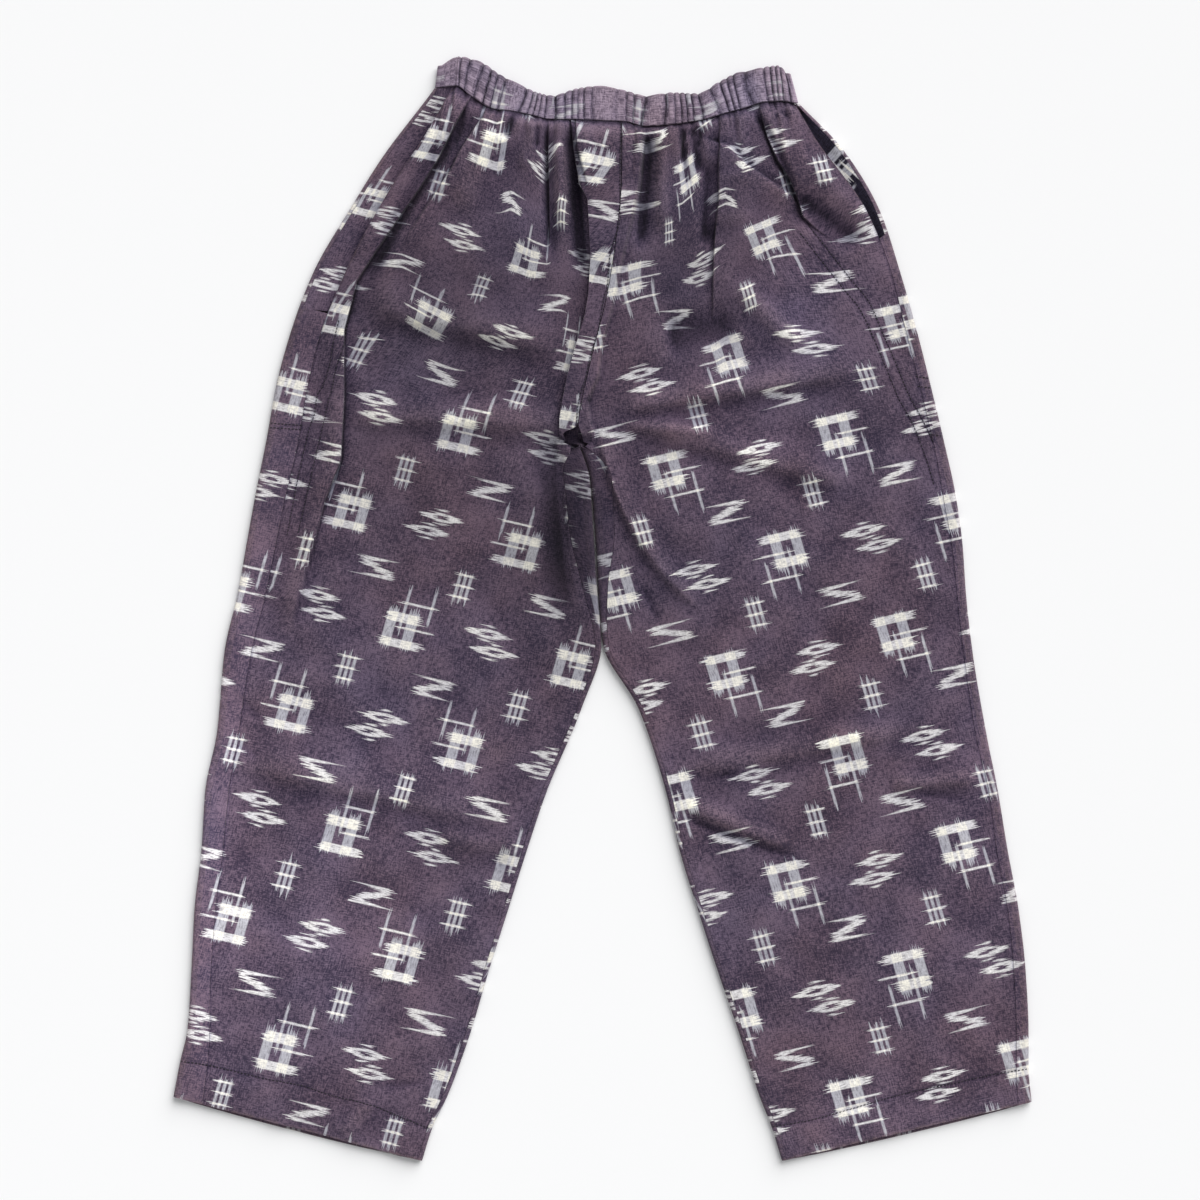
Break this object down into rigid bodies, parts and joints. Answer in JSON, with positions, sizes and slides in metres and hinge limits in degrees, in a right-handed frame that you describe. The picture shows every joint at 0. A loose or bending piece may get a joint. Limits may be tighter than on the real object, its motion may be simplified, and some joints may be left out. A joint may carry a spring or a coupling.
{
  "type": "monpe pants",
  "caption": "Wide cotton work trousers with a gathered waistband, side pockets and turned-up hems, laid flat with the front up.",
  "frame": {"origin": "on the surface the trousers lie on, under the middle of their bounding box", "axes": "+X to the viewer's right across the legs, +Y up to the waistband, +Z off the surface towards the front of the garment"},
  "size_m": [0.7158, 0.9201, 0.016],
  "materials": {
    "kasuri_cotton": "matt plain-weave cotton, indigo-brown with a pale woven kasuri pattern",
    "kasuri_worn": "the same cotton, faded at the rolled edges",
    "kasuri_unworn": "the same cotton, less faded inside the pocket openings",
    "kasuri_band": "the same cotton gathered over elastic, paler with wear"
  },
  "bodies": {
    "root": {"waistband_front": "kasuri_band", "waistband_back": "kasuri_band", "front_panel_left": "kasuri_cotton", "front_panel_right": "kasuri_cotton", "back_panel_left": "kasuri_worn", "back_panel_right": "kasuri_worn", "pocket_side_left": "kasuri_unworn", "pocket_side_right": "kasuri_unworn"}
  },
  "joints": []
}
